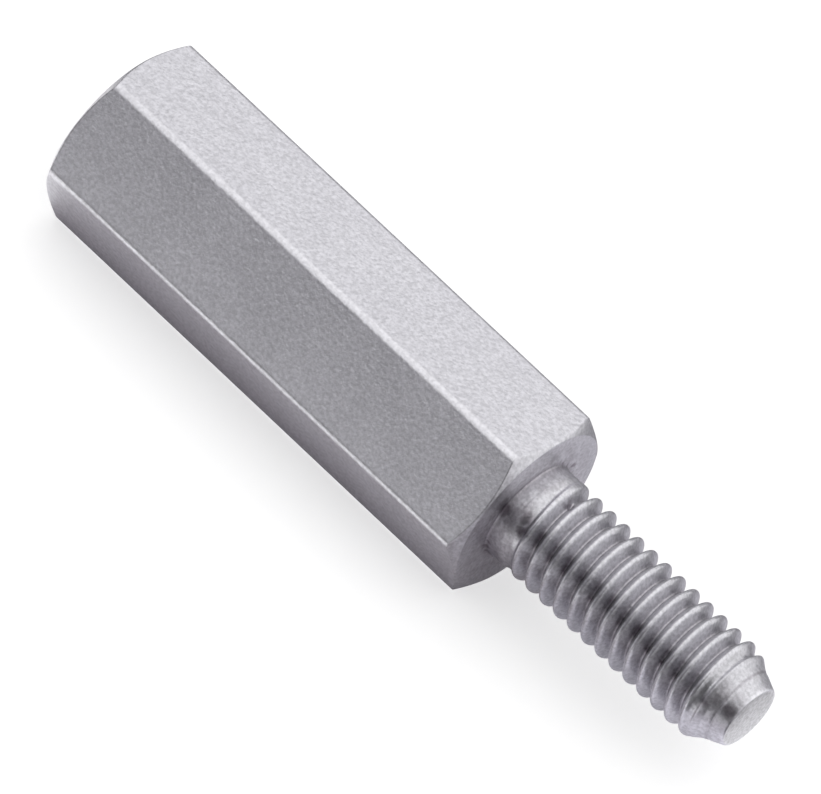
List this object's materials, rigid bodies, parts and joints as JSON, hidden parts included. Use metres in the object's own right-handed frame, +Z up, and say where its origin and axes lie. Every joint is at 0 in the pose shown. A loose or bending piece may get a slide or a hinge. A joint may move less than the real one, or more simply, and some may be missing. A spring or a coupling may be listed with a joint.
{
  "type": "hex standoff",
  "caption": "Male-female hex standoff: hexagonal body with chamfered ends, tapped at one end, with a rolled thread stud at the other.",
  "frame": {"origin": "centre of the underside of the part's box, as it lies on one flat of the hexagon", "axes": "+X along the axis, from the tapped end towards the stud; +Z up, square to the flat it lies on"},
  "size_m": [0.023, 0.0056, 0.005],
  "materials": {
    "stainless_steel": "satin, fine matte grain from tumbling"
  },
  "bodies": {
    "root": {"standoff": "stainless_steel"}
  },
  "joints": []
}
